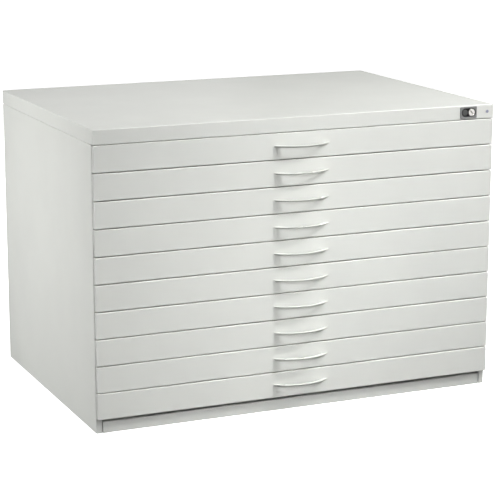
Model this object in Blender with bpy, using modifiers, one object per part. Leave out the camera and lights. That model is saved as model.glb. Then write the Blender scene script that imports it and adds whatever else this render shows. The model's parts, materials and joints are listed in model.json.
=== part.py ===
"""Flat file cabinet for large sheets: a case of folded sheet steel, ten shallow drawers on
telescopic runners, a bow handle on each drawer and one key lock that works a locking bar.

Metres, +Z up, drawer fronts facing -Y. The origin is on the floor under the middle of the
whole cabinet, handles included. Drawer 01 is the top one.
"""
from math import acos, cos, pi, radians, sin, sqrt

import bmesh
import bpy
from mathutils import Matrix, Vector

# Overall size
WIDTH = 1.100
DEPTH = 0.765              # drawer fronts to back, without the handles
HEIGHT = 0.760
DRAWERS = 10
COVER_HEIGHT = 0.037       # skirt of the top cover
PLINTH_HEIGHT = 0.037      # below the lowest drawer

# Sheet steel
SHEET = 0.0012
TRAY_SHEET = 0.0010
FOLD_RADIUS = 0.0018
TOUCH = 0.0003             # gap between pieces that touch
FLANGE = 0.015             # inward folds of the side panels and the top cover
BASE_LIP = 0.020
BASE_GAP = 0.001           # base to the side panels' folds
BASE_DROP = 0.0005         # base below the plinth's full height
BACK_RETURN = 0.006
BACK_SIDE_GAP = 0.003      # back panel to the side panels
BACK_END_GAP = 0.002       # back panel to the folds above and below it

# Drawers
FRONT_OVERHANG = 0.012     # drawer fronts stand this far before the case
FRONT_RETURN = 0.008       # depth of a front's folded edge
FRONT_GAP = 0.0035         # between one front and the next
FRONT_TOP_GAP = 0.0020     # part of that gap above a front
FRONT_INSET = 0.0005       # fronts are this much narrower than the cover, each side
TRAY_WIDTH = 1.041
TRAY_LENGTH = 0.720
TRAY_HEIGHT = 0.050
TRAY_RISE = 0.007          # tray floor above the front's lower edge
TRAY_LIP = 0.006

# Handles
HANDLE_SPAN = 0.158
HANDLE_REACH = 0.030
HANDLE_BAND = 0.011        # width of the bowed strip
HANDLE_THICKNESS = 0.0042
HANDLE_EDGE = 0.0011
HANDLE_STEPS = 12

# Telescopic runners
RUNNER_HEIGHT = 0.034
RUNNER_LENGTH = 0.700
RUNNER_RISE = 0.019        # runner centre above the tray floor
RUNNER_SETBACK = 0.010     # runners behind the front of the case
RUNNER_CLEARANCE = 0.0004
RUNNER_BITE = 0.0004       # how far joined pieces run into each other
FIXED_MARGIN = 0.0032      # inner edges of the members, from the tray
SLIDING_MARGIN = 0.0021
RACK_SETBACK = 0.0005      # uprights behind the side panels' front folds
UPRIGHT_WIDTH = 0.030
FIRST_UPRIGHT = 0.0075     # behind the front of the case

# Lock
LOCK_FROM_SIDE = 0.0745    # lock housing centre from the right side of the cabinet
LOCK_PLATE = (0.049, 0.030)
LOCK_PROUD = 0.0015
PLATE_LAP = 0.0020         # plate over the edge of its hole
LOCK_BODY_DEPTH = 0.010
POCKET_DEPTH = 0.0030
CYLINDER_RADIUS = 0.0104
CYLINDER_OFFSET = 0.0095   # cylinder axis right of the housing's centre
CYLINDER_SETBACK = 0.0005  # cylinder behind the plate's face
KEYWAY = (0.0022, 0.0040, 0.0090)                 # width, depth, length
KEYWAY_SLANT = radians(45)
DISC_LIP = 0.0013          # crank disc beyond the cylinder
DISC_GAP = 0.0004          # crank disc behind the housing
PIN_RADIUS = 0.0025
PIN_SLACK = 0.0004
PIN_END = 0.0020           # pin beyond the bar
BAR_STROKE = 0.010
BAR_THICKNESS = 0.003
BAR_CLEARANCE = 0.0006     # before and beside the bar
BAR_FOOT = 0.030           # lower end above the lowest tray's floor
ARM_HALF = 0.0060
ARM_END = 0.0065           # arm beyond the pin's place
FINGER_HEIGHT = 0.005
FINGER_GAP = 0.0020        # fingers to the trays
FINGER_LIFT = 0.0015       # fingers above the catches of closed, unlocked drawers
CATCH_HEIGHT = 0.008
CATCH_THICKNESS = 0.003
CATCH_RISE = 0.003         # above the runner
CATCH_GAP = 0.001          # behind the bar
SLOT_SLACK = 0.0005        # round the bar where it passes the folds
OVERRUN = 0.001            # joined pieces run into each other, cutters beyond what they cut
SLOT_OVERRUN = 0.005

# Worked out from the above
PITCH = (HEIGHT - COVER_HEIGHT - PLINTH_HEIGHT) / DRAWERS
FRONT_Y = (HANDLE_REACH - DEPTH) / 2
BACK_Y = FRONT_Y + DEPTH
CASE_Y = FRONT_Y + FRONT_OVERHANG
HALF = WIDTH / 2
COVER_BOTTOM = HEIGHT - COVER_HEIGHT
SIDE_TOP = COVER_BOTTOM - TOUCH
FRONT_HEIGHT = PITCH - FRONT_GAP
OPENING_HALF = HALF - FLANGE
TRAY_HALF = TRAY_WIDTH / 2
TRAY_Y = FRONT_RETURN + TOUCH                     # from the face of the drawer front
RACK_FACE = OPENING_HALF - RACK_SETBACK
RUNNER_Y = CASE_Y + RUNNER_SETBACK
BAR_Y = CASE_Y + SHEET + BAR_CLEARANCE
BAR_INNER = RACK_FACE + SHEET + RACK_SETBACK
BAR_OUTER = HALF - SHEET - OVERRUN
LOCK_X = HALF - LOCK_FROM_SIDE
LOCK_Z = HEIGHT - COVER_HEIGHT / 2
CYLINDER_X = LOCK_X + CYLINDER_OFFSET
CRANK = BAR_STROKE / sqrt(2)                      # a quarter turn gives the full stroke
POCKET_RADIUS = CYLINDER_RADIUS + TOUCH

# The three members of a runner nest in one another, from the rack inwards
RUNNER_STEP = SHEET + RUNNER_CLEARANCE
FIXED_OUTER = RACK_FACE + RUNNER_BITE
FIXED_INNER = TRAY_HALF + FIXED_MARGIN
SLIDING_OUTER = FIXED_OUTER - RUNNER_STEP
SLIDING_INNER = TRAY_HALF + SLIDING_MARGIN
DRAWER_MEMBER_OUTER = SLIDING_OUTER - RUNNER_STEP
DRAWER_MEMBER_INNER = TRAY_HALF - RUNNER_BITE / 2

NORMALS = {
    "+X": Vector((1, 0, 0)), "-X": Vector((-1, 0, 0)),
    "+Y": Vector((0, 1, 0)), "-Y": Vector((0, -1, 0)),
    "+Z": Vector((0, 0, 1)), "-Z": Vector((0, 0, -1)),
}
OPPOSITE = {"+X": "-X", "-X": "+X"}
FACING_Y = Matrix.Rotation(-pi / 2, 4, "X")       # turns a cylinder's +Z towards +Y


# Meshes

def mesh_from_bmesh(bm, name):
    mesh = bpy.data.meshes.new(name)
    bm.to_mesh(mesh)
    bm.free()
    return mesh


def temporary_object(mesh):
    obj = bpy.data.objects.new(mesh.name, mesh)
    bpy.context.scene.collection.objects.link(obj)
    return obj


def evaluated_mesh(obj):
    bpy.context.view_layer.update()
    depsgraph = bpy.context.evaluated_depsgraph_get()
    mesh = bpy.data.meshes.new_from_object(obj.evaluated_get(depsgraph))
    mesh.name = obj.name
    return mesh


def discard(objects):
    for obj in objects:
        mesh = obj.data
        bpy.data.objects.remove(obj)
        bpy.data.meshes.remove(mesh)


def box_bmesh(low, high):
    low, high = Vector(low), Vector(high)
    bm = bmesh.new()
    place = Matrix.Translation((low + high) / 2) @ Matrix.Diagonal(high - low).to_4x4()
    bmesh.ops.create_cube(bm, size=1, matrix=place)
    bm.normal_update()
    return bm


def box(low, high, name="box"):
    return mesh_from_bmesh(box_bmesh(low, high), name)


def cylinder(centre, radius, length, segments=32, name="cylinder"):
    """A cylinder along Y, from centre towards +Y."""
    bm = bmesh.new()
    place = Matrix.Translation(Vector(centre) + Vector((0, length / 2, 0))) @ FACING_Y
    bmesh.ops.create_cone(bm, cap_ends=True, segments=segments, radius1=radius,
                          radius2=radius, depth=length, matrix=place)
    return mesh_from_bmesh(bm, name)


def combine(mesh, others, operation):
    """Boolean of a mesh with each of the others in turn; all the inputs are used up."""
    obj = temporary_object(mesh)
    tools = [temporary_object(other) for other in others]
    for tool in tools:
        modifier = obj.modifiers.new(operation.lower(), "BOOLEAN")
        modifier.operation = operation
        modifier.object = tool
    result = evaluated_mesh(obj)
    discard([obj] + tools)
    return result


def folded_sheet(name, low, high, open_sides, sheet, radius=0.0, lip_side=None, lip=0.0):
    """Sheet metal folded round a box, its outer faces on the box and its folds rounded.

    The open sides have no metal; the lip side keeps an inward fold of width lip.
    """
    bm = box_bmesh(low, high)

    def face_on(side):
        return next(f for f in bm.faces if f.normal.dot(NORMALS[side]) > 0.99)

    removed = [face_on(side) for side in open_sides]
    if lip_side:
        middle = face_on(lip_side)
        bmesh.ops.inset_region(bm, faces=[middle], thickness=lip)
        removed.append(middle)
    bmesh.ops.delete(bm, geom=removed, context="FACES")
    if radius:
        folds = [e for e in bm.edges if len(e.link_faces) == 2 and e.calc_face_angle() > 1]
        bmesh.ops.bevel(bm, geom=folds, offset=radius, segments=2, profile=0.5,
                        affect="EDGES")
    obj = temporary_object(mesh_from_bmesh(bm, name))
    solidify = obj.modifiers.new("sheet", "SOLIDIFY")
    solidify.thickness = sheet
    solidify.offset = -1
    solidify.use_even_offset = True
    result = evaluated_mesh(obj)
    discard([obj])
    return result


# Objects

def make_material(name, colour, roughness, metallic):
    material = bpy.data.materials.new(name)
    material.use_nodes = True
    shader = material.node_tree.nodes["Principled BSDF"]
    shader.inputs["Base Color"].default_value = (*colour, 1)
    shader.inputs["Roughness"].default_value = roughness
    shader.inputs["Metallic"].default_value = metallic
    return material


def add_piece(name, mesh, finish, location=(0, 0, 0), parent=None):
    """A node of the cabinet. Copies of a piece may share one mesh and its finish."""
    obj = bpy.data.objects.new(name, mesh)
    cabinet.objects.link(obj)
    obj.location = location
    obj.parent = parent
    mesh.shade_smooth()
    mesh.set_sharp_from_angle(angle=radians(30))
    if not mesh.materials:
        mesh.materials.append(make_material(f"{name}_finish", *FINISHES[finish]))
    return obj


def add_mover(name, location):
    """An empty that carries the pieces of one moving body."""
    empty = bpy.data.objects.new(name, None)
    cabinet.objects.link(empty)
    empty.location = location
    empty.empty_display_size = 0.05
    return empty


# Case

def side_panel_mesh(side):
    """Side panel of the case: a shallow tray whose four folds point inwards."""
    sign = 1 if side == "right" else -1
    xs = sorted((sign * OPENING_HALF, sign * HALF))
    return folded_sheet(f"side_{side}", (xs[0], CASE_Y, 0), (xs[1], BACK_Y, SIDE_TOP),
                        ["-X" if sign > 0 else "+X"], SHEET, FOLD_RADIUS)


def bar_slot():
    """The way the locking bar takes through the top fold of the side and the cover's lip."""
    low = (BAR_INNER - SLOT_SLACK, BAR_Y - SLOT_SLACK, SIDE_TOP - SLOT_OVERRUN)
    high = (BAR_OUTER + SLOT_SLACK, BAR_Y + BAR_THICKNESS + SLOT_SLACK,
            COVER_BOTTOM + SLOT_OVERRUN)
    return box(low, high, "bar_slot")


def top_cover_mesh():
    """Cover with a skirt all round, folded in below, cut out for the lock and its bar."""
    mesh = folded_sheet("top_cover", (-HALF, FRONT_Y, COVER_BOTTOM), (HALF, BACK_Y, HEIGHT),
                        [], SHEET, FOLD_RADIUS, lip_side="-Z", lip=FLANGE)
    half_x, half_z = (size / 2 - PLATE_LAP for size in LOCK_PLATE)
    lock_hole = box((LOCK_X - half_x, FRONT_Y - SHEET, LOCK_Z - half_z),
                    (LOCK_X + half_x, FRONT_Y + 2 * SHEET, LOCK_Z + half_z), "lock_hole")
    return combine(mesh, [lock_hole, bar_slot()], "DIFFERENCE")


def back_panel_mesh():
    outer = BACK_Y - SHEET - TOUCH
    reach = HALF - SHEET - BACK_SIDE_GAP
    return folded_sheet("back_panel", (-reach, outer - BACK_RETURN, SHEET + BACK_END_GAP),
                        (reach, outer, SIDE_TOP - SHEET - BACK_END_GAP), ["-Y"], TRAY_SHEET,
                        FOLD_RADIUS)


def base_mesh():
    """Bottom of the case with the plinth folded down at the front."""
    reach = OPENING_HALF - BASE_GAP
    back = BACK_Y - SHEET - TOUCH - BACK_RETURN - TOUCH
    return folded_sheet("base_tray", (-reach, CASE_Y, 0),
                        (reach, back, PLINTH_HEIGHT - BASE_DROP), [], SHEET, FOLD_RADIUS,
                        lip_side="-Z", lip=BASE_LIP)


def runner_z(index):
    """Height of the centre of a drawer's runners."""
    return front_bottom(index) + TRAY_RISE + RUNNER_RISE


def front_bottom(index):
    return COVER_BOTTOM - (index - 1) * PITCH - FRONT_TOP_GAP - FRONT_HEIGHT


def rack_mesh(side):
    """Three uprights against a side panel, with the fixed member of every runner."""
    sign = 1 if side == "right" else -1
    inward = "-X" if sign > 0 else "+X"
    wall = HALF - SHEET - TOUCH
    first = CASE_Y + FIRST_UPRIGHT
    last = RUNNER_Y + RUNNER_LENGTH - UPRIGHT_WIDTH
    uprights = []
    for y in (first, (first + last) / 2, last):
        xs = sorted((sign * RACK_FACE, sign * wall))
        uprights.append(folded_sheet(
            f"slide_rack_{side}", (xs[0], y, SHEET + TOUCH),
            (xs[1], y + UPRIGHT_WIDTH, SIDE_TOP - SHEET - TOUCH),
            [OPPOSITE[inward], "+Z", "-Z"], SHEET))
    members = []
    for index in range(1, DRAWERS + 1):
        z = runner_z(index)
        xs = sorted((sign * FIXED_INNER, sign * FIXED_OUTER))
        members.append(folded_sheet(
            "member", (xs[0], RUNNER_Y, z - RUNNER_HEIGHT / 2),
            (xs[1], RUNNER_Y + RUNNER_LENGTH, z + RUNNER_HEIGHT / 2),
            [inward, "+Y", "-Y"], SHEET))
    return combine(uprights[0], uprights[1:] + members, "UNION")


def build_case():
    for side in ("left", "right"):
        panel = side_panel_mesh(side)
        if side == "right":
            panel = combine(panel, [bar_slot()], "DIFFERENCE")
        add_piece(f"side_{side}", panel, "paint")
        add_piece(f"slide_rack_{side}", rack_mesh(side), "zinc")
    add_piece("top_cover", top_cover_mesh(), "paint")
    add_piece("back_panel", back_panel_mesh(), "paint")
    add_piece("base_tray", base_mesh(), "paint")


# Drawers
# A drawer's pieces are made about the middle of its front's lower edge, on the front's face.

def front_mesh():
    reach = HALF - FRONT_INSET
    return folded_sheet("drawer_front", (-reach, 0, 0), (reach, FRONT_RETURN, FRONT_HEIGHT),
                        ["+Y"], SHEET, FOLD_RADIUS)


def catch(z_floor):
    """Catch on the right of a tray, which the locking bar's finger stands before."""
    y = BAR_Y - FRONT_Y + BAR_THICKNESS + CATCH_GAP
    z = z_floor + RUNNER_RISE + RUNNER_HEIGHT / 2 + CATCH_RISE
    return box((TRAY_HALF - RUNNER_BITE / 2, y, z),
               (SLIDING_OUTER - OVERRUN, y + CATCH_THICKNESS, z + CATCH_HEIGHT), "catch")


def tray_mesh():
    """Drawer tray with a narrow fold along its rim, its runner members and its catch."""
    z_floor = TRAY_RISE
    tray = folded_sheet("drawer_tray", (-TRAY_HALF, TRAY_Y, z_floor),
                        (TRAY_HALF, TRAY_Y + TRAY_LENGTH, z_floor + TRAY_HEIGHT), [],
                        TRAY_SHEET, lip_side="+Z", lip=TRAY_LIP)
    half_height = RUNNER_HEIGHT / 2 - 2 * RUNNER_STEP
    centre = z_floor + RUNNER_RISE
    start = RUNNER_Y - FRONT_Y
    members = []
    for sign, outward in ((1, "+X"), (-1, "-X")):
        xs = sorted((sign * DRAWER_MEMBER_INNER, sign * DRAWER_MEMBER_OUTER))
        members.append(folded_sheet(
            "member", (xs[0], start, centre - half_height),
            (xs[1], start + RUNNER_LENGTH, centre + half_height),
            [outward, "+Y", "-Y"], SHEET))
    return combine(tray, members + [catch(z_floor)], "UNION")


def handle_mesh():
    """Flat strip bowed forwards between two points of the front, cut off level with it."""
    half = HANDLE_SPAN / 2
    outer = (half ** 2 + HANDLE_REACH ** 2) / (2 * HANDLE_REACH)
    behind = outer - HANDLE_REACH                 # centre of the bow, behind the front
    bm = bmesh.new()
    bmesh.ops.create_grid(bm, x_segments=HANDLE_STEPS, y_segments=1, size=1)
    for vertex in bm.verts:
        radius = outer if vertex.co.y < 0 else outer - HANDLE_BAND
        turn = vertex.co.x * acos((behind + TOUCH) / radius)
        vertex.co = (radius * sin(turn), behind - radius * cos(turn), 0)
    obj = temporary_object(mesh_from_bmesh(bm, "drawer_handle"))
    solidify = obj.modifiers.new("strip", "SOLIDIFY")
    solidify.thickness = HANDLE_THICKNESS
    solidify.offset = 0
    bevel = obj.modifiers.new("edges", "BEVEL")
    bevel.width = HANDLE_EDGE
    bevel.segments = 1
    bevel.limit_method = "ANGLE"
    bevel.angle_limit = radians(60)
    result = evaluated_mesh(obj)
    discard([obj])
    return result


def sliding_member_mesh(side):
    """Middle member of a runner, made about the centre of its front end's height."""
    sign = 1 if side == "right" else -1
    xs = sorted((sign * SLIDING_INNER, sign * SLIDING_OUTER))
    half_height = RUNNER_HEIGHT / 2 - RUNNER_STEP
    return folded_sheet(f"slide_{side}", (xs[0], 0, -half_height),
                        (xs[1], RUNNER_LENGTH, half_height),
                        ["-X" if sign > 0 else "+X", "+Y", "-Y"], SHEET)


def build_drawers():
    front, tray, handle = front_mesh(), tray_mesh(), handle_mesh()
    slides = {side: sliding_member_mesh(side) for side in ("left", "right")}
    for index in range(1, DRAWERS + 1):
        name = f"drawer_{index:02d}"
        drawer = add_mover(name, (0, FRONT_Y, front_bottom(index)))
        add_piece(f"{name}_front", front, "paint", parent=drawer)
        add_piece(f"{name}_tray", tray, "paint", parent=drawer)
        add_piece(f"{name}_handle", handle, "handle", (0, 0, FRONT_HEIGHT / 2), drawer)
        runners = add_mover(f"{name}_runners", (0, RUNNER_Y, runner_z(index)))
        for side, mesh in slides.items():
            add_piece(f"{name}_slide_{side}", mesh, "zinc", parent=runners)


# Lock

def pocket_mesh():
    """Round-ended pocket in the housing's face, as long as the plate allows."""
    y = -LOCK_PROUD - TOUCH
    depth = POCKET_DEPTH + TOUCH
    ends = [cylinder((x, y, 0), POCKET_RADIUS, depth)
            for x in (-CYLINDER_OFFSET, CYLINDER_OFFSET)]
    middle = box((-CYLINDER_OFFSET, y, -POCKET_RADIUS), (CYLINDER_OFFSET, y + depth,
                 POCKET_RADIUS))
    return combine(middle, ends, "UNION")


def lock_housing_mesh():
    half_x, half_z = (size / 2 for size in LOCK_PLATE)
    inset = PLATE_LAP + TOUCH
    plate = box((-half_x, -LOCK_PROUD, -half_z), (half_x, -TOUCH, half_z), "lock_housing")
    body = box((-half_x + inset, -TOUCH * 2, -half_z + inset),
               (half_x - inset, LOCK_BODY_DEPTH, half_z - inset))
    housing = combine(plate, [body], "UNION")
    bore = cylinder((CYLINDER_OFFSET, -LOCK_PROUD - TOUCH, 0), POCKET_RADIUS,
                    LOCK_PROUD + LOCK_BODY_DEPTH + 2 * TOUCH)
    return combine(housing, [pocket_mesh(), bore], "DIFFERENCE")


def lock_cylinder_mesh():
    """Key cylinder with its keyway and, behind it, the crank disc and pin."""
    face = CYLINDER_SETBACK - LOCK_PROUD
    disc_y = LOCK_BODY_DEPTH + DISC_GAP
    bar_y = BAR_Y - FRONT_Y
    plug = cylinder((0, face, 0), CYLINDER_RADIUS, disc_y - face + OVERRUN,
                    name="lock_cylinder")
    disc = cylinder((0, disc_y, 0), CYLINDER_RADIUS + DISC_LIP,
                    bar_y - BAR_CLEARANCE - disc_y)
    offset = CRANK * cos(pi / 4)
    pin_y = disc_y + OVERRUN
    pin = cylinder((offset, pin_y, offset), PIN_RADIUS,
                   bar_y + BAR_THICKNESS + PIN_END - pin_y, segments=16)
    width, depth, length = KEYWAY
    keyway = box((-width / 2, face - OVERRUN, -length / 2), (width / 2, face + depth, length / 2))
    keyway.transform(Matrix.Rotation(-KEYWAY_SLANT, 4, "Y"))
    return combine(combine(plug, [disc, pin], "UNION"), [keyway], "DIFFERENCE")


def locking_bar_mesh():
    """Upright bar with one finger a drawer and, at the top, an arm slotted for the pin."""
    back = BAR_Y + BAR_THICKNESS
    pin_x = CYLINDER_X + CRANK * cos(pi / 4)
    pin_z = LOCK_Z + CRANK * sin(pi / 4)
    top = pin_z + ARM_HALF
    upright = box((BAR_INNER, BAR_Y, front_bottom(DRAWERS) + TRAY_RISE + BAR_FOOT),
                  (BAR_OUTER, back, top), "lock_bar")
    arm = box((pin_x - ARM_END, BAR_Y, pin_z - ARM_HALF), (BAR_INNER + OVERRUN, back, top))
    fingers = []
    for index in range(1, DRAWERS + 1):
        catch_top = runner_z(index) + RUNNER_HEIGHT / 2 + CATCH_RISE + CATCH_HEIGHT
        z = catch_top + FINGER_LIFT
        fingers.append(box((TRAY_HALF + FINGER_GAP, BAR_Y, z),
                           (BAR_INNER + OVERRUN, back, z + FINGER_HEIGHT)))
    bar = combine(upright, [arm] + fingers, "UNION")
    play = PIN_RADIUS + PIN_SLACK
    slot = box((pin_x - play, BAR_Y - OVERRUN, pin_z - play),
               (pin_x + CRANK - CRANK * cos(pi / 4) + play, back + OVERRUN, pin_z + play))
    return combine(bar, [slot], "DIFFERENCE")


def build_lock():
    add_piece("lock_housing", lock_housing_mesh(), "housing", (LOCK_X, FRONT_Y, LOCK_Z))
    add_piece("lock_cylinder", lock_cylinder_mesh(), "nickel", (CYLINDER_X, FRONT_Y, LOCK_Z))
    add_piece("lock_bar", locking_bar_mesh(), "zinc")


# Colour (linear), roughness, metallic
FINISHES = {
    "paint": ((0.68, 0.69, 0.66), 0.42, 0.0),
    "handle": ((0.66, 0.67, 0.64), 0.38, 0.0),
    "zinc": ((0.55, 0.57, 0.60), 0.35, 1.0),
    "nickel": ((0.78, 0.77, 0.74), 0.18, 1.0),
    "housing": ((0.06, 0.06, 0.06), 0.45, 0.0),
}

for old in list(bpy.data.objects):
    bpy.data.objects.remove(old)
cabinet = bpy.data.collections.new("flat_file_cabinet")
bpy.context.scene.collection.children.link(cabinet)
build_case()
build_drawers()
build_lock()
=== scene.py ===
import json
import math

import bmesh
import bpy
from mathutils import Matrix, Vector


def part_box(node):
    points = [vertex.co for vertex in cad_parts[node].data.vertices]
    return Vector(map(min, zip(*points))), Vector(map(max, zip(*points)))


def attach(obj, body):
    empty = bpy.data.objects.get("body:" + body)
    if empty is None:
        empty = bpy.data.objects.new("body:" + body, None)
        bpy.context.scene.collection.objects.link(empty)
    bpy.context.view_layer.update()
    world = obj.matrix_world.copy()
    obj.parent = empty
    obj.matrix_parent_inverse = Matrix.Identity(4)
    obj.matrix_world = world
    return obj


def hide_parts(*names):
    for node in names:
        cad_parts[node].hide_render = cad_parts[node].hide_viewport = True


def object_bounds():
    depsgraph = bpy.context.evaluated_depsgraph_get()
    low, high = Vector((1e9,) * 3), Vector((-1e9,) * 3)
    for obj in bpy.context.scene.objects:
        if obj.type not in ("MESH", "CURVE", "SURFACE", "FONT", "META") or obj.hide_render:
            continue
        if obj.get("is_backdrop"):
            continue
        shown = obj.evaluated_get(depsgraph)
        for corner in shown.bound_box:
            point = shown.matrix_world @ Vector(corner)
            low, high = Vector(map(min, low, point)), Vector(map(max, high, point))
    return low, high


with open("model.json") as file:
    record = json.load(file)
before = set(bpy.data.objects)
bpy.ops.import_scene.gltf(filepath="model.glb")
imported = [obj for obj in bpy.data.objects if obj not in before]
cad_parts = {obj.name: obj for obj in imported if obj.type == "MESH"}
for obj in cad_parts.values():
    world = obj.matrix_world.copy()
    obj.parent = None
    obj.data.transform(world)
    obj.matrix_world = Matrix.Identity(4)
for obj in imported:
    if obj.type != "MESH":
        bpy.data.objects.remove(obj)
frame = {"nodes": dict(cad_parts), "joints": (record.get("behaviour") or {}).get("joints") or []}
cadLow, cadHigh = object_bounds()
print("frame loaded:", len(frame["nodes"]), "parts")

# Metres, drawer fronts facing -Y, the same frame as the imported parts
sides = {"left": -1, "right": 1}


# Meshes

axisSides = {"+X": (0, 1), "-X": (0, -1), "+Y": (1, 1), "-Y": (1, -1), "+Z": (2, 1), "-Z": (2, -1)}

folding = {
    "segments": 5,                # round each fold
    "leastAngle": 1,              # radians, sharper edges than this are folded
    "edgeShare": 0.18,            # rounding of the cut edges, as a share of the sheet
    "edgeAngle": 60,
    "wornShare": 0.95,            # how much of a fold's radius may be worn
}


def facing(sign):
    return "+X" if sign > 0 else "-X"


def toMesh(name, shape):
    mesh = bpy.data.meshes.new(name)
    shape.to_mesh(mesh)
    shape.free()
    return mesh


def boxShape(low, high):
    low = Vector(low)
    high = Vector(high)
    shape = bmesh.new()
    place = Matrix.Translation((low + high) / 2) @ Matrix.Diagonal(high - low).to_4x4()
    bmesh.ops.create_cube(shape, size=1, matrix=place)
    shape.normal_update()
    return shape


def roundShape(centre, radius, length, segments, endRadius=None):
    # a cylinder or cone along Y, from centre towards +Y
    shape = bmesh.new()
    middle = Vector(centre) + Vector((0, length / 2, 0))
    place = Matrix.Translation(middle) @ Matrix.Rotation(-math.pi / 2, 4, "X")
    far = radius if endRadius is None else endRadius
    bmesh.ops.create_cone(shape, cap_ends=True, segments=segments, radius1=radius, radius2=far,
                          depth=length, matrix=place)
    return shape


def worked(mesh, steps, tools=()):
    # the mesh after a list of modifiers; the tools are meshes to cut away first
    body = bpy.data.objects.new(mesh.name, mesh)
    bpy.context.scene.collection.objects.link(body)
    cutters = []
    for tool in tools:
        cutter = bpy.data.objects.new(tool.name, tool)
        bpy.context.scene.collection.objects.link(cutter)
        cutters.append(cutter)
        modifier = body.modifiers.new("cut", "BOOLEAN")
        modifier.operation = "DIFFERENCE"
        modifier.object = cutter
    for kind, settings in steps:
        modifier = body.modifiers.new(kind, kind)
        for name, value in settings.items():
            setattr(modifier, name, value)
    bpy.context.view_layer.update()
    graph = bpy.context.evaluated_depsgraph_get()
    result = bpy.data.meshes.new_from_object(body.evaluated_get(graph))
    result.name = mesh.name
    for used in [body] + cutters:
        data = used.data
        bpy.data.objects.remove(used)
        bpy.data.meshes.remove(data)
    return result


def joined(name, meshes):
    shape = bmesh.new()
    for mesh in meshes:
        shape.from_mesh(mesh)
        bpy.data.meshes.remove(mesh)
    return toMesh(name, shape)


def smoothed(mesh, angle=35):
    # smooth shading that stays flat on the large faces
    mesh.shade_smooth()
    mesh.set_sharp_from_angle(angle=math.radians(angle))
    return worked(mesh, [("WEIGHTED_NORMAL", {"keep_sharp": True, "weight": 100})])


def rounding(width, segments=2, angle=40):
    return ("BEVEL", {"width": width, "segments": segments, "limit_method": "ANGLE",
                      "angle_limit": math.radians(angle)})


def markFolds(mesh, low, high, radius):
    # 1 along the folds and 0 on the flats, for the finish to wear
    marks = mesh.attributes.new("fold", "FLOAT", "POINT")
    reach = folding["wornShare"] * radius
    for vertex in mesh.vertices:
        near = sum(min(abs(vertex.co[axis] - low[axis]), abs(high[axis] - vertex.co[axis])) < reach
                   for axis in range(3))
        marks.data[vertex.index].value = 1 if near > 1 else 0


def foldedSheet(name, low, high, openSides, sheet, radius, lipSide=None, lip=0.0, holes=()):
    # sheet metal folded round a box: no metal on the open sides, a narrow fold on the lip side
    shape = boxShape(low, high)

    def faceOn(side):
        axis, sign = axisSides[side]
        return next(face for face in shape.faces if round(face.normal[axis]) == sign)

    removed = [faceOn(side) for side in openSides]
    if lipSide:
        middle = faceOn(lipSide)
        bmesh.ops.inset_region(shape, faces=[middle], thickness=lip)
        removed.append(middle)
    bmesh.ops.delete(shape, geom=removed, context="FACES")
    folds = [edge for edge in shape.edges
             if len(edge.link_faces) == 2 and edge.calc_face_angle() > folding["leastAngle"]]
    bmesh.ops.bevel(shape, geom=folds, offset=radius, segments=folding["segments"], profile=0.5,
                    affect="EDGES")
    thicken = ("SOLIDIFY", {"thickness": sheet, "offset": -1, "use_even_offset": True})
    mesh = worked(toMesh(name, shape), [thicken])
    if holes:
        mesh = worked(mesh, [], holes)
    mesh = worked(mesh, [rounding(sheet * folding["edgeShare"], angle=folding["edgeAngle"])])
    mesh = smoothed(mesh)
    markFolds(mesh, low, high, radius)
    return mesh


def addPiece(name, mesh, finish, body, standsFor=()):
    piece = bpy.data.objects.new(name, mesh)
    bpy.context.scene.collection.objects.link(piece)
    mesh.materials.clear()
    mesh.materials.append(finish)
    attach(piece, body)
    if standsFor:
        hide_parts(*standsFor)
    return piece


def finishNode(name, finish):
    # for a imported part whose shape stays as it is
    mesh = frame["nodes"][name].data
    mesh.materials.clear()
    mesh.materials.append(finish)


# Finishes

class Wire:
    # one socket's value, written in sums and products like a number
    def __init__(self, nodes, socket):
        self.nodes = nodes
        self.socket = socket

    def maths(self, operation, first, second):
        return self.nodes.node("ShaderNodeMath", {"operation": operation}, {0: first, 1: second})

    def __add__(self, other):
        return self.maths("ADD", self, other)

    def __radd__(self, other):
        return self.maths("ADD", other, self)

    def __sub__(self, other):
        return self.maths("SUBTRACT", self, other)

    def __rsub__(self, other):
        return self.maths("SUBTRACT", other, self)

    def __mul__(self, other):
        return self.maths("MULTIPLY", self, other)

    def __rmul__(self, other):
        return self.maths("MULTIPLY", other, self)


class Nodes:
    # a node tree, to which every node is added in the same way
    def __init__(self, tree):
        self.tree = tree

    def feed(self, socket, value):
        if isinstance(value, Wire):
            self.tree.links.new(value.socket, socket)
        else:
            socket.default_value = value

    def node(self, kind, settings=None, values=None, output=0):
        made = self.tree.nodes.new(kind)
        for name, value in (settings or {}).items():
            if name == "stops":
                elements = made.color_ramp.elements
                while len(elements) < len(value):
                    elements.new(0.5)
                for stop, (position, colour) in zip(elements, value):
                    stop.position = position
                    stop.color = (*colour, 1)
            else:
                setattr(made, name, value)
        for name, value in (values or {}).items():
            self.feed(made.inputs[name], value)
        return Wire(self, made.outputs[output])


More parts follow.
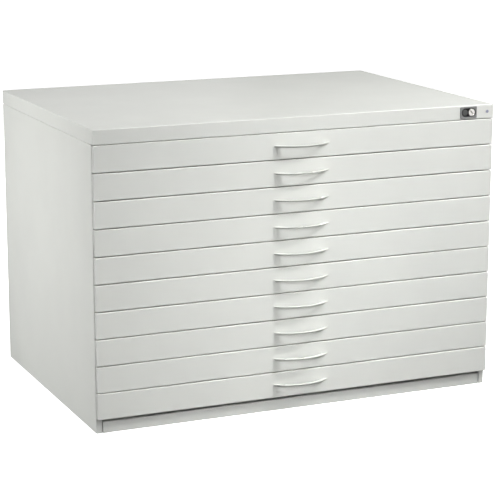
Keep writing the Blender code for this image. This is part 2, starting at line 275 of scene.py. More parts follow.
class Finish(Nodes):
    # a material; constants go to the shader's sockets as the finish is made
    def __init__(self, name, **values):
        self.material = bpy.data.materials.new(name)
        self.material.use_nodes = True
        super().__init__(self.material.node_tree)
        self.shader = self.tree.nodes["Principled BSDF"]
        self.give(**values)
        self.places = self.node("ShaderNodeTexCoord", output="Object")

    def give(self, **values):
        # a value or a link for each of the shader's sockets, by name
        for socket, value in values.items():
            self.feed(self.shader.inputs[socket.replace("_", " ")], value)

    def vector(self, operation, first, second, output=0):
        return self.node("ShaderNodeVectorMath", {"operation": operation}, {0: first, 1: second}, output)

    def noise(self, size, detail=2.0, stretch=(1, 1, 1)):
        # smooth noise whose lumps are about that size in metres
        places = self.vector("MULTIPLY", self.places, stretch)
        return self.node("ShaderNodeTexNoise", {}, {"Vector": places, "Scale": 1 / size,
                                                    "Detail": detail, "Roughness": 0.55})

    def step(self, value, low, high):
        # 0 below low, 1 above high
        return self.node("ShaderNodeMapRange", {"interpolation_type": "SMOOTHSTEP"},
                         {"Value": value, "From Min": low, "From Max": high})

    def mix(self, share, first, second):
        colours = [colour if isinstance(colour, Wire) else (*colour, 1) for colour in (first, second)]
        return self.node("ShaderNodeMix", {"data_type": "RGBA"}, {0: share, 6: colours[0], 7: colours[1]},
                         output=2)

    def bump(self, height, depth, under=None):
        values = {"Height": height, "Distance": depth}
        if under:
            values["Normal"] = under
        return self.node("ShaderNodeBump", {}, values)


powderCoat = {
    "colour": (0.665, 0.675, 0.640),
    "cloudColour": (0.645, 0.655, 0.622),
    "cloudSize": 0.22,
    "cloudRange": (0.35, 0.65),   # of the noise, from the one tone to the other
    "cloudRoughness": 0.08,
    "rubbedColour": (0.74, 0.745, 0.72),
    "rubbedSize": 0.018,
    "rubbedRange": (0.42, 0.62),
    "rubbedShare": 0.6,
    "rubbedRoughness": 0.08,
    "scuffSize": 0.004,
    "scuffStretch": (0.12, 1, 1),
    "scuffRange": (0.66, 0.76),
    "scuffRoughness": 0.06,
    "roughness": 0.40,
    "peelSize": 0.0022,
    "peelDepth": 0.000080,
    "grainSize": 0.0006,
    "grainDepth": 0.000012,
}


def powderCoatFinish(name, values):
    # semi-gloss powder coat: orange peel, faint clouds, polished folds, fine handling scuffs
    finish = Finish(name, Specular_IOR_Level=0.5)
    clouds = finish.noise(values["cloudSize"], 3)
    fold = finish.node("ShaderNodeAttribute", {"attribute_name": "fold"}, output="Fac")
    rubbed = fold * finish.step(finish.noise(values["rubbedSize"], 3), *values["rubbedRange"])
    scuffs = finish.noise(values["scuffSize"], 4, values["scuffStretch"])
    scuffs = finish.step(scuffs, *values["scuffRange"])
    cloudy = finish.step(clouds, *values["cloudRange"])
    tone = finish.mix(cloudy, values["colour"], values["cloudColour"])
    tone = finish.mix(rubbed * values["rubbedShare"], tone, values["rubbedColour"])
    roughness = values["roughness"] + (clouds - 0.5) * values["cloudRoughness"]
    roughness = roughness + scuffs * values["scuffRoughness"] - rubbed * values["rubbedRoughness"]
    peel = finish.bump(finish.noise(values["peelSize"], 1), values["peelDepth"])
    grain = finish.bump(finish.noise(values["grainSize"], 1), values["grainDepth"], under=peel)
    finish.give(Base_Color=tone, Roughness=roughness, Normal=grain)
    return finish.material


zincPlate = {
    "colour": (0.56, 0.575, 0.59),
    "tint": (0.50, 0.53, 0.56),
    "tintShare": 0.6,
    "grease": (0.42, 0.42, 0.41),
    "greaseSize": 0.05,
    "greaseRange": (0.55, 0.72),
    "greaseShare": 0.5,
    "greaseRoughness": 0.12,
    "roughness": 0.30,
    "crystal": 0.012,
    "crystalRoughness": 0.10,
    "rollSize": 0.002,
    "rollStretch": (1, 0.04, 1),
    "rollDepth": 0.00002,
    "rollShare": 0.3,
    "rollRoughness": 0.08,
}


def zincFinish(name, values):
    # bright zinc on rolled steel: soft crystals, rolling lines, a film of grease here and there
    finish = Finish(name, Metallic=1.0)
    crystals = finish.node("ShaderNodeTexVoronoi", {"feature": "F1"},
                           {"Vector": finish.places, "Scale": 1 / values["crystal"]}, output=1)
    shade = finish.node("ShaderNodeSeparateColor", {}, {0: crystals})
    rolled = finish.noise(values["rollSize"], 3, values["rollStretch"])
    film = finish.step(finish.noise(values["greaseSize"], 4), *values["greaseRange"])
    tinted = shade * values["tintShare"] + rolled * values["rollShare"]
    tone = finish.mix(tinted, values["colour"], values["tint"])
    tone = finish.mix(film * values["greaseShare"], tone, values["grease"])
    roughness = values["roughness"] + shade * values["crystalRoughness"]
    roughness = roughness + rolled * values["rollRoughness"] + film * values["greaseRoughness"]
    finish.give(Base_Color=tone, Roughness=roughness, Normal=finish.bump(rolled, values["rollDepth"]))
    return finish.material


nickel = {
    "colour": (0.66, 0.65, 0.625),
    "shade": (0.42, 0.41, 0.39),
    "roughness": 0.20,
    "ring": 0.0004,               # from one turning mark to the next
    "ringDepth": 0.000006,
    "ringShare": 0.1,
    "ringRoughness": 0.05,
    "scratchSize": 0.0008,
    "scratchStretch": (1, 1, 0.2),
    "scratchRange": (0.6, 0.7),
    "scratchFade": (0.004, 0.009),    # radii between which the key's scratches fade
    "scratchShare": 0.7,
    "scratchRoughness": 0.15,
}


def nickelFinish(name, values, axis):
    # turned and nickel plated: fine rings about the cylinder's axis, scratches round the keyway
    finish = Finish(name, Metallic=1.0)
    flat = finish.vector("MULTIPLY", finish.vector("SUBTRACT", finish.places, axis), (1, 0, 1))
    radius = finish.node("ShaderNodeVectorMath", {"operation": "LENGTH"}, {0: flat}, output=1)
    wave = finish.node("ShaderNodeMath", {"operation": "SINE"}, {0: radius * (math.tau / values["ring"])})
    rings = wave * 0.5 + 0.5
    scratches = finish.noise(values["scratchSize"], 3, values["scratchStretch"])
    scratches = finish.step(scratches, *values["scratchRange"])
    scratches = scratches * (1 - finish.step(radius, *values["scratchFade"]))
    marked = scratches * values["scratchShare"] + rings * values["ringShare"]
    tone = finish.mix(marked, values["colour"], values["shade"])
    roughness = values["roughness"] + rings * values["ringRoughness"]
    roughness = roughness + scratches * values["scratchRoughness"]
    finish.give(Base_Color=tone, Roughness=roughness, Normal=finish.bump(rings, values["ringDepth"]))
    return finish.material


mouldedPlastic = {
    "plate": (0.175, 0.177, 0.174),
    # the boss and the pocket are the plate's plastic painted darker, as painted shade of the recess; the
    # boss is lighter than the pocket as a painted highlight
    "boss": (0.060, 0.061, 0.060),
    "pocket": (0.010, 0.010, 0.010),
    "shine": {"plate": 0.5, "boss": 0.4, "pocket": 0.2},
    "lighter": 1.35,              # the worn tone, from the plain one
    "roughness": 0.42,
    "grain": 0.0005,
    "grainDepth": 0.00002,
    "grainShare": 0.5,
    "grainRoughness": 0.12,
    "patchSize": 0.006,
    "patchRange": (0.45, 0.7),
    "patchShare": 0.3,
    "patchRoughness": 0.08,
}


def plasticFinish(name, values, part):
    # spark-eroded mould texture with greasy patches where keys rub; the pocket's and the boss's tones are
    # painted shade
    finish = Finish(name, Specular_IOR_Level=values["shine"][part])
    grain = finish.noise(values["grain"], 2)
    patches = finish.step(finish.noise(values["patchSize"], 3), *values["patchRange"])
    lighter = tuple(channel * values["lighter"] + 0.004 for channel in values[part])
    worn = grain * values["grainShare"] + patches * values["patchShare"]
    tone = finish.mix(worn, values[part], lighter)
    roughness = values["roughness"] + grain * values["grainRoughness"]
    roughness = roughness - patches * values["patchRoughness"]
    finish.give(Base_Color=tone, Roughness=roughness, Normal=finish.bump(grain, values["grainDepth"]))
    return finish.material


badgeEnamel = {
    "colour": (0.24, 0.25, 0.33),
    "rimColour": (0.50, 0.51, 0.54),
    "rimFrom": 0.82,              # shares of the badge's radius
    "rimTo": 0.9,
    "rimShare": 0.9,
    "roughness": 0.28,
    "coatRoughness": 0.1,
    "speckleSize": 0.0007,
    "speckleDepth": 0.00001,
    "speckleShare": 0.1,
    "speckleRoughness": 0.1,
}


def enamelFinish(name, values, centre, radius):
    # a small enamelled disc with a paler rolled rim
    finish = Finish(name, Coat_Roughness=values["coatRoughness"])
    fromCentre = finish.vector("DISTANCE", finish.places, centre, output=1)
    rim = finish.step(fromCentre, radius * values["rimFrom"], radius * values["rimTo"])
    speckle = finish.noise(values["speckleSize"], 2)
    paler = rim * values["rimShare"] + speckle * values["speckleShare"]
    tone = finish.mix(paler, values["colour"], values["rimColour"])
    roughness = values["roughness"] + speckle * values["speckleRoughness"]
    finish.give(Base_Color=tone, Roughness=roughness,
                Normal=finish.bump(speckle, values["speckleDepth"]))
    return finish.material


casePaint = powderCoatFinish("casePaint", powderCoat)
frontPaint = powderCoatFinish("frontPaint", powderCoat)
trayPaint = powderCoatFinish("trayPaint", dict(powderCoat, roughness=0.46, peelSize=0.003))
handlePaint = powderCoatFinish("handlePaint", dict(powderCoat, roughness=0.28, peelSize=0.0015))
zinc = zincFinish("zincPlate", zincPlate)
print("finishes made")


# Case

caseSheet = {
    "sheet": 0.0012,
    "backSheet": 0.0010,
    "foldRadius": 0.0018,
    "coverLip": 0.015,
    "baseLip": 0.020,
    "baseDrop": 0.008,            # gap under the lowest drawer's front
    "baseGap": 0.001,             # more room beside the plinth
    "slotSlack": 0.0005,
    "slotPast": 0.005,            # how far the slot's cut runs past the sheets, up and down
    "holeInset": 0.0020,
    "holeDepth": 0.0048,
}
sheet = caseSheet["sheet"]
foldRadius = caseSheet["foldRadius"]
barLow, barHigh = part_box("lock_bar")
plateLow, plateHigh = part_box("lock_housing")


def barSlot():
    # where the locking bar passes the top fold of the side and the cover's lip
    slack = caseSheet["slotSlack"]
    sideLow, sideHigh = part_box("side_right")
    low = (sideLow.x + slack, barLow.y - slack, sideHigh.z - caseSheet["slotPast"])
    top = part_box("top_cover")[0].z + caseSheet["slotPast"]
    return toMesh("barSlot", boxShape(low, (barHigh.x + slack, barHigh.y + slack, top)))


def lockHole():
    inset = caseSheet["holeInset"]
    low = (plateLow.x + inset, plateLow.y - sheet, plateLow.z + inset)
    high = (plateHigh.x - inset, plateLow.y + caseSheet["holeDepth"], plateHigh.z - inset)
    return toMesh("lockHole", boxShape(low, high))


for side, sign in sides.items():
    name = f"side_{side}"
    low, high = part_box(name)
    holes = [barSlot()] if side == "right" else []
    panel = foldedSheet(name, low, high, [facing(-sign)], sheet, foldRadius, holes=holes)
    addPiece(f"{name}_panel", panel, casePaint, "cabinet", [name])

low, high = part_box("top_cover")
cover = foldedSheet("cover", low, high, [], sheet, foldRadius, "-Z", caseSheet["coverLip"],
                    [lockHole(), barSlot()])
addPiece("top_cover_sheet", cover, casePaint, "cabinet", ["top_cover"])

low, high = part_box("back_panel")
back = foldedSheet("back", low, high, ["-Y"], caseSheet["backSheet"], foldRadius)
addPiece("back_panel_sheet", back, casePaint, "cabinet", ["back_panel"])

low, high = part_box("base_tray")
gap = Vector((caseSheet["baseGap"], 0, 0))
drop = Vector((0, 0, caseSheet["baseDrop"]))
base = foldedSheet("base", low + gap, high - gap - drop, [], sheet, foldRadius, "-Z",
                   caseSheet["baseLip"])
addPiece("base_and_plinth", base, casePaint, "cabinet", ["base_tray"])

for side in sides:
    finishNode(f"slide_rack_{side}", zinc)

rivets = {
    "radius": 0.0035,
    "height": 0.0011,
    "sink": 0.0001,
    "around": 24,
    "upwards": 16,
    "inColumn": 6,                # down each side panel's rear fold
    "endGap": 0.045,
}


def rivetHead(centre, direction):
    # domed head that stands out of a sheet, its flat side sunk a hair into it
    shape = bmesh.new()
    bmesh.ops.create_uvsphere(shape, u_segments=rivets["around"], v_segments=rivets["upwards"], radius=1)
    lowerHalf = [vertex for vertex in shape.verts if vertex.co.z < -0.01]
    bmesh.ops.delete(shape, geom=lowerHalf, context="VERTS")
    rim = [edge for edge in shape.edges if edge.is_boundary]
    bmesh.ops.contextual_create(shape, geom=rim)
    size = Matrix.Diagonal((rivets["radius"], rivets["radius"], rivets["height"])).to_4x4()
    turn = Vector((0, 0, 1)).rotation_difference(Vector(direction)).to_matrix().to_4x4()
    place = Matrix.Translation(Vector(centre) - Vector(direction) * rivets["sink"])
    bmesh.ops.transform(shape, matrix=place @ turn @ size, verts=shape.verts)
    return toMesh("rivet", shape)


heads = []
for side in sides:
    low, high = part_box(f"side_{side}")
    for number in range(rivets["inColumn"]):
        share = number / (rivets["inColumn"] - 1)
        height = low.z + rivets["endGap"] + share * (high.z - low.z - 2 * rivets["endGap"])
        heads.append(rivetHead(((low.x + high.x) / 2, high.y, height), (0, 1, 0)))
addPiece("back_rivets", smoothed(joined("backRivets", heads), angle=50), casePaint, "cabinet")
print("case built")


# Drawers

drawerNames = [f"drawer_{number:02d}" for number in range(1, 11)]

drawer = {
    "trayWidth": 1.041,
    "traySheet": 0.0010,
    "trayLip": 0.006,
    "trayFold": 0.0014,
    "memberFold": 0.0011,
    "memberSink": 0.0002,
    "runnerStep": 0.0016,         # from one runner member to the next
    "catchFoot": 0.003,           # above the drawer's runner member
    "catchHeight": 0.008,
    "catchThickness": 0.003,
    "catchGap": 0.001,            # behind the locking bar, and beside the sliding member
    "catchEdge": 0.0004,
    "rivetsPerSide": 4,
    "frontGrow": 0.0006,          # a front's upper and lower folds, over the solid's
}

handle = {
    "band": 0.011,
    "thickness": 0.0042,
    "lean": 0.0048,               # how far the outer face leans in towards its lower edge
    "edge": 0.0007,
    "edgeSteps": 3,
    "steps": 48,
}

runnerHoles = {
    "radius": 0.0032,
    "length": 0.014,
    "pitch": 0.0875,
    "count": 7,
    "first": 0.085,
    "cut": 0.03,
    "segments": 24,
}


def roundedOutline(corners, edge, steps):
    # the corners' outline with each corner rounded off
    outline = []
    for number, corner in enumerate(corners):
        corner = Vector(corner)
        ends = [corner + (Vector(near) - corner).normalized() * edge
                for near in (corners[number - 1], corners[(number + 1) % len(corners)])]
        for step in range(steps + 1):
            share = step / steps
            outline.append(ends[0] * (1 - share) ** 2 + corner * 2 * share * (1 - share)
                           + ends[1] * share ** 2)
    return outline


def skinRings(shape, rings):
    # faces from each ring of points to the next, and one across each end
    for ring, following in zip(rings, rings[1:]):
        for number in range(len(ring)):
            beside = (number + 1) % len(ring)
            shape.faces.new((ring[number], ring[beside], following[beside], following[number]))
    shape.faces.new(rings[0])
    shape.faces.new(rings[-1])
    bmesh.ops.recalc_face_normals(shape, faces=shape.faces)


def handleMesh(low, high):
    # flat strip bowed forwards between two points of the front, cut off level with it
    half = (high.x - low.x) / 2
    reach = high.y - low.y
    outer = (half ** 2 + reach ** 2) / (2 * reach)
    behind = outer - reach
    middle = Vector(((low.x + high.x) / 2, high.y + behind, (low.z + high.z) / 2))
    rise = handle["thickness"] / 2
    band = handle["band"]
    section = roundedOutline([(0, rise), (handle["lean"], -rise), (band, -rise), (band, rise)],
                             handle["edge"], handle["edgeSteps"])
    shape = bmesh.new()
    rings = []
    for step in range(handle["steps"] + 1):
        share = 2 * step / handle["steps"] - 1
        ring = []
        for inset, height in section:
            radius = outer - inset
            turn = share * math.acos(behind / radius)
            place = Vector((radius * math.sin(turn), -radius * math.cos(turn), height))
            ring.append(shape.verts.new(middle + place))
        rings.append(ring)
    skinRings(shape, rings)
    return smoothed(toMesh("handle", shape), angle=50)


def runnerMember(name, low, high, openSide, holes=()):
    # rolled channel with rounded bends, open along one side and at both ends
    return foldedSheet(name, low, high, [openSide, "+Y", "-Y"], sheet, drawer["memberFold"], holes=holes)


def webHoles(low, high):
    # long holes along the web of a runner member
    middle = (low + high) / 2
    radius = runnerHoles["radius"]
    tools = []
    for number in range(runnerHoles["count"]):
        y = low.y + runnerHoles["first"] + number * runnerHoles["pitch"]
        shape = bmesh.new()
        for end in (-1, 1):
            place = Matrix.Translation((middle.x, y + end * runnerHoles["length"] / 2, middle.z))
            bmesh.ops.create_cone(shape, cap_ends=True, segments=runnerHoles["segments"],
                                  radius1=radius, radius2=radius, depth=runnerHoles["cut"],
                                  matrix=place @ Matrix.Rotation(math.pi / 2, 4, "Y"))
        hull = bmesh.ops.convex_hull(shape, input=shape.verts)
        inner = list(set(hull["geom_interior"] + hull["geom_unused"]))
        bmesh.ops.delete(shape, geom=inner, context="VERTS")
        bmesh.ops.recalc_face_normals(shape, faces=shape.faces)
        tools.append(toMesh("webHole", shape))
    return tools


def trayMesh(low, high):
    half = drawer["trayWidth"] / 2
    return foldedSheet("tray", (-half, low.y, low.z), (half, high.y, high.z), [], drawer["traySheet"],
                       drawer["trayFold"], "+Z", drawer["trayLip"])


def memberOnTray(name, side, outermost):
    # one of the tray's own two runner members, with the rivets that hold it
    sign = sides[side]
    half = drawer["trayWidth"] / 2
    slideLow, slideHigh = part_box(f"{name}_slide_{side}")
    across = sorted((sign * (half - drawer["memberSink"]), sign * outermost))
    low = Vector((across[0], slideLow.y, slideLow.z + drawer["runnerStep"]))
    high = Vector((across[1], slideHigh.y, slideHigh.z - drawer["runnerStep"]))
    metal = [runnerMember("member", low, high, facing(sign))]
    count = drawer["rivetsPerSide"]
    for number in range(count):
        y = low.y + (number + 0.5) * (high.y - low.y) / count
        inside = sign * (half - drawer["traySheet"])
        metal.append(rivetHead((inside, y, (low.z + high.z) / 2), (-sign, 0, 0)))
    return metal


def catchMesh(name):
    # what the locking bar's finger stops
    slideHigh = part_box(f"{name}_slide_right")[1]
    front = barHigh.y + drawer["catchGap"]
    foot = slideHigh.z + drawer["runnerStep"] + drawer["catchFoot"]
    low = (drawer["trayWidth"] / 2 - drawer["memberSink"], front, foot)
    high = (slideHigh.x - drawer["catchGap"], front + drawer["catchThickness"],
            foot + drawer["catchHeight"])
    return worked(toMesh("catch", boxShape(low, high)), [rounding(drawer["catchEdge"])])


for name in drawerNames:
    low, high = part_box(f"{name}_front")
    grow = Vector((0, 0, drawer["frontGrow"]))
    front = foldedSheet("front", low - grow, high + grow, ["+Y"], sheet, foldRadius)
    addPiece(f"{name}_face", front, frontPaint, name, [f"{name}_front"])
    bow = handleMesh(*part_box(f"{name}_handle"))
    addPiece(f"{name}_bow", bow, handlePaint, name, [f"{name}_handle"])
    low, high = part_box(f"{name}_tray")
    tray = trayMesh(low, high)
    outermost = max(abs(low.x), abs(high.x))
    metal = memberOnTray(name, "left", outermost) + memberOnTray(name, "right", outermost)
    members = smoothed(joined("members", metal + [catchMesh(name)]))
    addPiece(f"{name}_pan", tray, trayPaint, name, [f"{name}_tray"])
    addPiece(f"{name}_members", members, zinc, name)
    for side, sign in sides.items():
        node = f"{name}_slide_{side}"
        low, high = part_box(node)
        slide = runnerMember("slide", low, high, facing(-sign), webHoles(low, high))
        addPiece(f"{node}_rail", slide, zinc, f"{name}_runners", [node])
print("drawers built")


# Lock

lock = {
    "corner": 0.0022,
    "edge": 0.0006,
    "edgeSteps": 3,
    "plateThickness": 0.0015,
    "bodyInset": 0.0023,
    "bodyCorner": 0.001,
    "pocketDepth": 0.0030,
    "pocketRadius": 0.0113,
    "pocketChamfer": 0.0006,
    "outlinePoints": 144,
    "outlineHalvings": 30,        # how closely each point is found
    "bossRadius": 0.0078,
    "bossHeight": 0.0012,
    "bossChamfer": 0.0006,
    "bossReach": 0.98,            # how much of its radius has the boss's tone, a painted shade
    "plugRadius": 0.0096,
    "plugSlack": 0.0003,
    "plugLength": 0.0114,
    "faceChamfer": 0.0006,
    "discRadius": 0.0117,
    "discThickness": 0.0012,
    "crank": 0.005,
    "pinRadius": 0.0025,
    "edgeBreak": 0.00012,
    "boreLength": 0.02,
    "boreSegments": 64,
    "bossSegments": 48,
    "pinSegments": 24,
    "keywayWidth": 0.0027,
    "keywayLength": 0.0135,
    "keywayDepth": 0.005,
    "keywayOut": 0.001,           # how much of the keyway's cut stands before the plug
    "keywayTurn": 45,
}
cylinderLow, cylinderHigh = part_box("lock_cylinder")
lockHeight = (plateLow.z + plateHigh.z) / 2
lockMiddle = (plateLow.x + plateHigh.x) / 2
turnAxis = next(joint for joint in frame["joints"] if joint["name"] == "lock_turn")["pos_m"]
pocketShift = turnAxis[0] - lockMiddle
faceY = plateLow.y
bossTop = faceY + lock["pocketDepth"] - lock["bossHeight"]


def reachOf(direction, halfWidth, halfHeight, corner):
    # how far a rounded rectangle's edge is from its middle, in one direction
    low = 0.0
    high = halfWidth + halfHeight
    for halving in range(lock["outlineHalvings"]):
        reach = (low + high) / 2
        across = max(abs(direction.x) * reach - halfWidth + corner, 0)
        up = max(abs(direction.y) * reach - halfHeight + corner, 0)
        outside = math.hypot(across, up) > corner
        low, high = (low, reach) if outside else (reach, high)
    return low


def blockShape():
    # one skin: round the block, over the plate's rim and down into the round-ended pocket
    width = (plateHigh.x - plateLow.x) / 2
    height = (plateHigh.z - plateLow.z) / 2
    inset = lock["bodyInset"]
    edge = lock["edge"]
    pocket = lock["pocketRadius"]
    chamfer = lock["pocketChamfer"]
    plateBack = faceY + lock["plateThickness"]
    levels = [(width - inset, height - inset, lock["bodyCorner"], plateHigh.y),
              (width - inset, height - inset, lock["bodyCorner"], plateBack),
              (width, height, lock["corner"], plateBack)]
    for step in range(lock["edgeSteps"] + 1):
        turn = math.radians(90) * step / lock["edgeSteps"]
        back = edge * (1 - math.cos(turn))
        levels.append((width - back, height - back, lock["corner"] - back / 2,
                       faceY + edge * (1 - math.sin(turn))))
    levels += [(pocketShift + pocket + chamfer, pocket + chamfer, pocket + chamfer, faceY),
               (pocketShift + pocket, pocket, pocket, faceY + chamfer),
               (pocketShift + pocket, pocket, pocket, faceY + lock["pocketDepth"])]
    shape = bmesh.new()
    rings = []
    for halfWidth, halfHeight, corner, y in levels:
        ring = []
        for number in range(lock["outlinePoints"]):
            turn = math.tau * (number + 0.5) / lock["outlinePoints"]
            way = Vector((math.cos(turn), math.sin(turn)))
            reach = reachOf(way, halfWidth, halfHeight, corner)
            ring.append(shape.verts.new((lockMiddle + way.x * reach, y, lockHeight + way.y * reach)))
        rings.append(ring)
    skinRings(shape, rings)
    return shape


def housingMesh():
    # the block with the plug's bore, and the raised blank boss beside it
    bore = roundShape((turnAxis[0], faceY + lock["pocketDepth"] / 2, lockHeight),
                      lock["plugRadius"] + lock["plugSlack"], lock["boreLength"], lock["boreSegments"])
    block = worked(toMesh("housing", blockShape()), [], [toMesh("bore", bore)])
    bossX = lockMiddle - pocketShift
    radius = lock["bossRadius"]
    chamfer = lock["bossChamfer"]
    boss = roundShape((bossX, bossTop, lockHeight), radius - chamfer, chamfer, lock["bossSegments"],
                      radius)
    stem = roundShape((bossX, bossTop + chamfer, lockHeight), radius, lock["bossHeight"],
                      lock["bossSegments"])
    return smoothed(joined("housing", [block, toMesh("boss", boss), toMesh("stem", stem)]))


def plasticAt(centre):
    # which of the three tones a face has: the plate's plastic, the pocket's painted shade or the boss's
    # lighter painted shade
    fromBoss = math.hypot(centre.x - lockMiddle + pocketShift, centre.z - lockHeight)
    onBoss = centre.y < bossTop + lock["bossChamfer"] and fromBoss < lock["bossReach"] * lock["bossRadius"]
    inPocket = centre.y > faceY + lock["pocketChamfer"]
    return 2 if onBoss else int(inPocket)


housing = addPiece("lock_body", housingMesh(), plasticFinish("lockPlastic", mouldedPlastic, "plate"),
                   "cabinet", ["lock_housing"])
# darker copies of the plate's plastic for the pocket and the boss: painted shade of the recess
housing.data.materials.append(plasticFinish("pocketPlastic", mouldedPlastic, "pocket"))
housing.data.materials.append(plasticFinish("bossPlastic", mouldedPlastic, "boss"))
for face in housing.data.polygons:
    face.material_index = plasticAt(face.center)


def cylinderMesh():
    # plug with a chamfered face and its keyway, the crank disc behind it and the pin
    x, y, z = turnAxis
    front = cylinderLow.y
    chamfer = lock["faceChamfer"]
    radius = lock["plugRadius"]
    crank = lock["crank"]
    segments = lock["boreSegments"]
    behind = front + lock["plugLength"]
    shapes = [
        roundShape((x, front, z), radius - chamfer, chamfer, segments, radius),
        roundShape((x, front + chamfer, z), radius, lock["plugLength"] - chamfer, segments),
        roundShape((x, behind, z), lock["discRadius"], lock["discThickness"], segments),
        roundShape((x + crank, behind, z + crank), lock["pinRadius"], cylinderHigh.y - behind,
                   lock["pinSegments"]),
    ]
    plug = joined("plug", [toMesh("part", shape) for shape in shapes])
    half = Vector((lock["keywayWidth"] / 2, lock["keywayDepth"] / 2, lock["keywayLength"] / 2))
    keyway = boxShape(-half, half)
    place = Matrix.Translation((x, front + half.y - lock["keywayOut"], z))
    turn = Matrix.Rotation(math.radians(-lock["keywayTurn"]), 4, "Y")
    bmesh.ops.transform(keyway, matrix=place @ turn, verts=keyway.verts)
    return smoothed(worked(plug, [rounding(lock["edgeBreak"], 1, angle=50)],
                           [toMesh("keyway", keyway)]))


addPiece("lock_plug", cylinderMesh(), nickelFinish("turnedNickel", nickel, tuple(turnAxis)),
         "lock_cylinder", ["lock_cylinder"])
finishNode("lock_bar", zinc)

badge = {
    "radius": 0.0046,
    "thickness": 0.0008,
    "taper": 0.0004,
    "sink": 0.0002,
    "edge": 0.0002,
    "fromSide": 0.0185,
    "segments": 48,
}
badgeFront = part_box("top_cover")[0].y - badge["thickness"]
badgeCentre = (cadHigh.x - badge["fromSide"], badgeFront, lockHeight)
disc = roundShape(badgeCentre, badge["radius"] - badge["taper"], badge["thickness"] + badge["sink"],
                  badge["segments"], badge["radius"])
addPiece("badge", smoothed(worked(toMesh("badge", disc), [rounding(badge["edge"], angle=50)])),
         enamelFinish("badgeEnamel", badgeEnamel, badgeCentre, badge["radius"]), "cabinet")
print("lock built")


# Studio

sweep = {
    "radius": 22,                 # white floor that curves up into a white wall
    "bend": 4,
    "bendSteps": 8,
    "height": 14,
    "segments": 96,
    "weld": 0.001,
    "below": 0.0003,              # clear of the cabinet's underside
    "colour": (0.9, 0.9, 0.9, 1),
    "glow": 0.95,
    "roughness": 0.8,
    "lumpSize": 0.02,
    "lumpDepth": 0.0002,
}

# Square lamps: where each stands, where it points, its side, its spread in degrees, its watts
lamps = {
    "keyLamp": ((2.26, -1.9, 3.37), (0.1, -0.1, 0.4), 0.35, 180, 42),
    "keySoftbox": ((2.26, -1.9, 3.37), (0.1, -0.1, 0.4), 2.4, 180, 150),
    "keySpot": ((2.03, -1.77, 2.96), (0.37, -0.37, 0.56), 0.35, 45, 2.3),
    "frontSoftbox": ((0.1, -4.98, 0.9), (0, 0, 0.3), 1.8, 180, 16),
    "frontSpot": ((-0.3, -3.0, 1.7), (-0.1, -0.37, 0.18), 0.6, 35, 1.9),
    "frontCard": ((1.35, -2.0, 0.45), (0.4, -0.37, 0.6), 0.9, 180, 3.5),
    "sideSoftbox": ((-3.43, 0.35, 0.55), (0, 0, 0.38), 1.0, 180, 54),
    "sideSpot": ((-2.6, 0.3, 1.2), (-0.55, 0.08, 0.5), 0.8, 50, 2.5),
    "backWash": ((0.2, 3.5, 1.2), (0, 0.2, 0.6), 2.5, 180, 11),
    "backFill": ((0, 4.5, 0.38), (0, 0.4, 0.38), 0.7, 180, 60),
}

# Greys of the sky by height: 0 is straight below, 0.5 the horizon, 1 straight above
skyGreys = [(0.44, 0.03), (0.5, 0.17), (0.6, 0.17), (0.75, 0.15)]

view = {
    "lens": 132.9,
    "sensor": 36,
    "place": (-1.935, -4.492, 1.448),
    "turn": 23.5,                 # degrees, from straight ahead towards the cabinet's right
    "dip": 12.73,                 # degrees below the horizon
    "nearest": 0.05,
    "farthest": 100,
}


def sweepFinish():
    # white paper with a glow of its own, so that it stays white under the lamps' fall-off
    finish = Finish("whitePaper", Base_Color=sweep["colour"], Roughness=sweep["roughness"],
                    Emission_Color=(1, 1, 1, 1), Emission_Strength=sweep["glow"])
    finish.give(Normal=finish.bump(finish.noise(sweep["lumpSize"], 3), sweep["lumpDepth"]))
    return finish.material


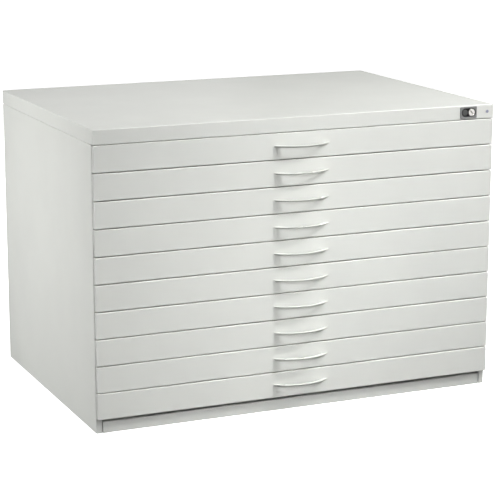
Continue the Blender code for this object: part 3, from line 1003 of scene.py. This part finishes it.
def addSweep():
    # a floor disc, a bend and a wall, turned about the upright through the cabinet's middle
    radius = sweep["radius"]
    bend = sweep["bend"]
    profile = [Vector((0, 0, 0)), Vector((radius - bend, 0, 0))]
    for step in range(1, sweep["bendSteps"] + 1):
        turn = math.radians(90) * step / sweep["bendSteps"]
        profile.append(Vector((radius - bend + bend * math.sin(turn), 0, bend - bend * math.cos(turn))))
    profile.append(Vector((radius, 0, sweep["height"])))
    shape = bmesh.new()
    points = [shape.verts.new(point) for point in profile]
    edges = [shape.edges.new(pair) for pair in zip(points, points[1:])]
    bmesh.ops.spin(shape, geom=points + edges, cent=(0, 0, 0), axis=(0, 0, 1), angle=math.tau,
                   steps=sweep["segments"])
    bmesh.ops.remove_doubles(shape, verts=shape.verts, dist=sweep["weld"])
    bmesh.ops.recalc_face_normals(shape, faces=shape.faces)
    bmesh.ops.reverse_faces(shape, faces=shape.faces)
    bmesh.ops.translate(shape, vec=(0, 0, cadLow.z - sweep["below"]), verts=shape.verts)
    paper = bpy.data.objects.new("sweep", smoothed(toMesh("sweep", shape)))
    bpy.context.scene.collection.objects.link(paper)
    paper.data.materials.append(sweepFinish())
    paper.visible_diffuse = False
    paper.visible_glossy = False
    paper.visible_shadow = False
    paper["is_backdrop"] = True


def addLamps():
    for name, (place, aim, size, spread, power) in lamps.items():
        lamp = bpy.data.lights.new(name, "AREA")
        lamp.shape = "SQUARE"
        lamp.size = size
        lamp.spread = math.radians(spread)
        lamp.energy = power
        holder = bpy.data.objects.new(name, lamp)
        bpy.context.scene.collection.objects.link(holder)
        holder.location = place
        holder.rotation_mode = "QUATERNION"
        holder.rotation_quaternion = (Vector(place) - Vector(aim)).to_track_quat("Z", "Y")
        holder.visible_camera = False


def addSky():
    world = bpy.data.worlds.new("studioSky")
    world.use_nodes = True
    sky = Nodes(world.node_tree)
    directions = sky.node("ShaderNodeTexCoord", output="Generated")
    height = sky.node("ShaderNodeSeparateXYZ", {}, {0: directions}, output="Z")
    stops = [(share, (grey, grey, grey)) for share, grey in skyGreys]
    shade = sky.node("ShaderNodeValToRGB", {"stops": stops}, {0: height * 0.5 + 0.5})
    sky.feed(sky.tree.nodes["Background"].inputs["Color"], shade)
    bpy.context.scene.world = world


def addCamera():
    data = bpy.data.cameras.new("camera")
    data.lens = view["lens"]
    data.sensor_width = view["sensor"]
    data.clip_start = view["nearest"]
    data.clip_end = view["farthest"]
    camera = bpy.data.objects.new("camera", data)
    bpy.context.scene.collection.objects.link(camera)
    camera.location = view["place"]
    camera.rotation_euler = (math.radians(90 - view["dip"]), 0, -math.radians(view["turn"]))
    bpy.context.scene.camera = camera


addSweep()
addLamps()
addSky()
addCamera()
bpy.context.scene.view_settings.view_transform = "Standard"
print("studio ready")

low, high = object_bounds()
